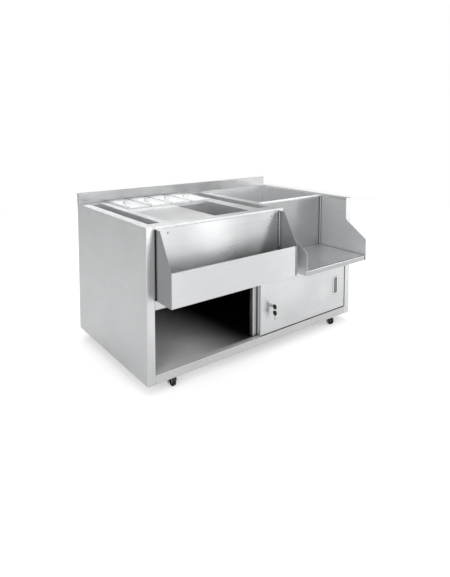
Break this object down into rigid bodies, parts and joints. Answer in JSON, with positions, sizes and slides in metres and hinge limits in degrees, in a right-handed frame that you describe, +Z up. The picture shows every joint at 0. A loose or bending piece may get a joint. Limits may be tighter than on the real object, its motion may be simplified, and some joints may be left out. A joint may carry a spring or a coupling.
{
  "type": "underbar sink station",
  "caption": "Steel underbar station: sink, lidded ice bin, bottle wells, garnish pans, speed rail, shelf and sliding doors on swivel casters.",
  "frame": {"origin": "bottom centre of the whole unit, on the ground", "axes": "+X to the right seen from the front, +Y from the front to the back, +Z up"},
  "size_m": [1.4, 0.946, 0.825],
  "materials": {
    "satin_steel": "satin brushed",
    "bright_steel": "polished",
    "zinc_steel": "zinc plated",
    "nickel_steel": "nickel plated",
    "white_foam": "foam",
    "black_nylon": "matte",
    "black_rubber": "matte"
  },
  "bodies": {
    "cabinet": {"left_side_panel": "satin_steel", "right_side_panel": "satin_steel", "back_panel": "satin_steel", "cabinet_floor": "satin_steel", "caster_channels": "zinc_steel", "front_header": "satin_steel", "front_apron": "satin_steel", "worktop": "satin_steel", "ice_bin_liner": "satin_steel", "left_bottle_well": "satin_steel", "right_bottle_well": "satin_steel", "sink_bowl": "satin_steel", "ice_bin_foam": "white_foam", "ice_bin_jacket": "satin_steel", "ice_bin_drain": "bright_steel", "sink_drain": "bright_steel", "ice_cover_runners": "satin_steel", "speed_rail_trough": "satin_steel", "speed_rail_end_left": "satin_steel", "speed_rail_end_right": "satin_steel", "shelf_tray": "satin_steel", "shelf_end_left": "satin_steel", "shelf_end_right": "satin_steel", "mounting_screws": "bright_steel", "door_tracks": "satin_steel", "door_floor_guide": "black_nylon", "caster_plates": "zinc_steel"},
    "ice_cover": {"ice_cover": "satin_steel"},
    "sink_strainer": {"sink_strainer": "bright_steel"},
    "pan_1": {"pan_1": "bright_steel"},
    "pan_lid_1": {"pan_lid_1": "bright_steel"},
    "pan_2": {"pan_2": "bright_steel"},
    "pan_lid_2": {"pan_lid_2": "bright_steel"},
    "pan_3": {"pan_3": "bright_steel"},
    "pan_lid_3": {"pan_lid_3": "bright_steel"},
    "pan_4": {"pan_4": "bright_steel"},
    "pan_lid_4": {"pan_lid_4": "bright_steel"},
    "front_door": {"front_door_skin": "satin_steel", "front_door_liner": "satin_steel", "front_door_pull": "bright_steel", "front_door_hangers": "zinc_steel", "lock_barrel": "bright_steel"},
    "rear_door": {"rear_door_skin": "satin_steel", "rear_door_liner": "satin_steel", "rear_door_pull": "bright_steel", "rear_door_hangers": "zinc_steel", "lock_keeper": "satin_steel"},
    "lock": {"lock_plug": "bright_steel", "lock_key": "nickel_steel"},
    "spare_key_ring": {"key_ring": "bright_steel", "spare_key": "nickel_steel"},
    "caster_left_front": {"caster_fork_left_front": "zinc_steel"},
    "wheel_left_front": {"caster_wheel_left_front": "black_rubber"},
    "caster_right_front": {"caster_fork_right_front": "zinc_steel"},
    "wheel_right_front": {"caster_wheel_right_front": "black_rubber"},
    "caster_left_rear": {"caster_fork_left_rear": "zinc_steel"},
    "wheel_left_rear": {"caster_wheel_left_rear": "black_rubber"},
    "caster_right_rear": {"caster_fork_right_rear": "zinc_steel"},
    "wheel_right_rear": {"caster_wheel_right_rear": "black_rubber"}
  },
  "joints": [
    {"name": "ice_cover_slide", "type": "slide", "parent": "cabinet", "child": "ice_cover", "axis": [1, 0, 0], "range_m": [0, 0.203]},
    {"name": "strainer_lift", "type": "slide", "parent": "cabinet", "child": "sink_strainer", "axis": [0, 0, 1], "range_m": [0, 0.06]},
    {"name": "pan_1_lift", "type": "slide", "parent": "cabinet", "child": "pan_1", "axis": [0, 0, 1], "range_m": [0, 0.15]},
    {"name": "pan_lid_1_lift", "type": "slide", "parent": "pan_1", "child": "pan_lid_1", "axis": [0, 0, 1], "range_m": [0, 0.06]},
    {"name": "pan_2_lift", "type": "slide", "parent": "cabinet", "child": "pan_2", "axis": [0, 0, 1], "range_m": [0, 0.15]},
    {"name": "pan_lid_2_lift", "type": "slide", "parent": "pan_2", "child": "pan_lid_2", "axis": [0, 0, 1], "range_m": [0, 0.06]},
    {"name": "pan_3_lift", "type": "slide", "parent": "cabinet", "child": "pan_3", "axis": [0, 0, 1], "range_m": [0, 0.15]},
    {"name": "pan_lid_3_lift", "type": "slide", "parent": "pan_3", "child": "pan_lid_3", "axis": [0, 0, 1], "range_m": [0, 0.06]},
    {"name": "pan_4_lift", "type": "slide", "parent": "cabinet", "child": "pan_4", "axis": [0, 0, 1], "range_m": [0, 0.15]},
    {"name": "pan_lid_4_lift", "type": "slide", "parent": "pan_4", "child": "pan_lid_4", "axis": [0, 0, 1], "range_m": [0, 0.06]},
    {"name": "front_door_slide", "type": "slide", "parent": "cabinet", "child": "front_door", "axis": [1, 0, 0], "range_m": [-0.624, 0]},
    {"name": "rear_door_slide", "type": "slide", "parent": "cabinet", "child": "rear_door", "axis": [1, 0, 0], "range_m": [-0.596, 0.028]},
    {"name": "key_turn", "type": "hinge", "parent": "front_door", "child": "lock", "pos_m": [0.044, -0.324, 0.246], "axis": [0, 1, 0], "range_deg": [0, 90]},
    {"name": "key_ring_swing", "type": "hinge", "parent": "lock", "child": "spare_key_ring", "pos_m": [0.044, -0.354, 0.2446], "axis": [1, 0, 0], "range_deg": [-20, 20]},
    {"name": "caster_left_front_swivel", "type": "hinge", "parent": "cabinet", "child": "caster_left_front", "pos_m": [-0.558, -0.269, 0.06], "axis": [0, 0, 1], "continuous": true},
    {"name": "wheel_left_front_roll", "type": "hinge", "parent": "caster_left_front", "child": "wheel_left_front", "pos_m": [-0.558, -0.299, 0.025], "axis": [1, 0, 0], "continuous": true},
    {"name": "caster_right_front_swivel", "type": "hinge", "parent": "cabinet", "child": "caster_right_front", "pos_m": [0.558, -0.269, 0.06], "axis": [0, 0, 1], "continuous": true},
    {"name": "wheel_right_front_roll", "type": "hinge", "parent": "caster_right_front", "child": "wheel_right_front", "pos_m": [0.558, -0.299, 0.025], "axis": [1, 0, 0], "continuous": true},
    {"name": "caster_left_rear_swivel", "type": "hinge", "parent": "cabinet", "child": "caster_left_rear", "pos_m": [-0.558, 0.415, 0.06], "axis": [0, 0, 1], "continuous": true},
    {"name": "wheel_left_rear_roll", "type": "hinge", "parent": "caster_left_rear", "child": "wheel_left_rear", "pos_m": [-0.558, 0.385, 0.025], "axis": [1, 0, 0], "continuous": true},
    {"name": "caster_right_rear_swivel", "type": "hinge", "parent": "cabinet", "child": "caster_right_rear", "pos_m": [0.558, 0.415, 0.06], "axis": [0, 0, 1], "continuous": true},
    {"name": "wheel_right_rear_roll", "type": "hinge", "parent": "caster_right_rear", "child": "wheel_right_rear", "pos_m": [0.558, 0.385, 0.025], "axis": [1, 0, 0], "continuous": true}
  ]
}
